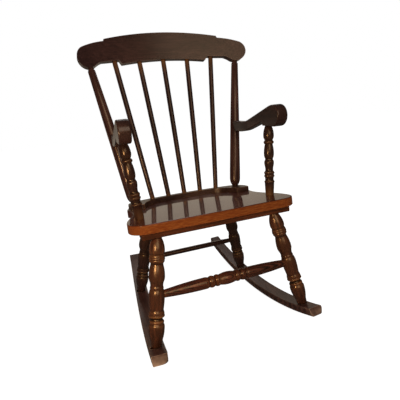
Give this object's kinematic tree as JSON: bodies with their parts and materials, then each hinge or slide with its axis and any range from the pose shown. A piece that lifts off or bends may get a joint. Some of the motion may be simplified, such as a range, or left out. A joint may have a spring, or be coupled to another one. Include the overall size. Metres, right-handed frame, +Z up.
{
  "type": "rocking chair",
  "caption": "Comb back rocking armchair of dark turned wood, with a stepped crest rail, fanned spindles, scrolled arms, splayed turned legs and sawn rockers.",
  "frame": {"origin": "on the floor, in the middle between the rockers, where they touch it", "axes": "+X to the sitter's left, -Y forwards, +Z up"},
  "size_m": [0.624, 0.7329, 0.9852],
  "materials": {
    "seat_wood": "dark red-brown stain under a glossy varnish",
    "back_wood": "dark brown stain under a glossy varnish",
    "crest_wood": "dark red-brown stain under a glossy varnish",
    "arm_wood": "dark brown stain under a glossy varnish",
    "turned_wood": "chestnut brown stain under a glossy varnish, darker in the grooves",
    "under_wood": "dark brown stain, satin",
    "rocker_wood": "dark brown stain, satin, rubbed at the edges",
    "screw_steel": "plain steel wood screws"
  },
  "bodies": {
    "root": {"seat": "seat_wood", "back_rail": "back_wood", "crest_rail": "crest_wood", "back_post_left": "back_wood", "back_post_right": "back_wood", "spindle_1": "back_wood", "spindle_2": "back_wood", "spindle_3": "back_wood", "spindle_4": "back_wood", "spindle_5": "back_wood", "arm_left": "arm_wood", "arm_right": "arm_wood", "arm_post_left": "turned_wood", "arm_post_right": "turned_wood", "batten_front": "under_wood", "batten_rear": "under_wood", "leg_front_left": "turned_wood", "leg_front_right": "turned_wood", "leg_rear_left": "turned_wood", "leg_rear_right": "turned_wood", "front_stretcher": "turned_wood", "rear_stretcher": "turned_wood", "rocker_left": "rocker_wood", "rocker_right": "rocker_wood", "batten_screws": "screw_steel", "rocker_screws": "screw_steel", "arm_screws": "screw_steel", "arm_screw_plugs": "back_wood"}
  },
  "joints": []
}
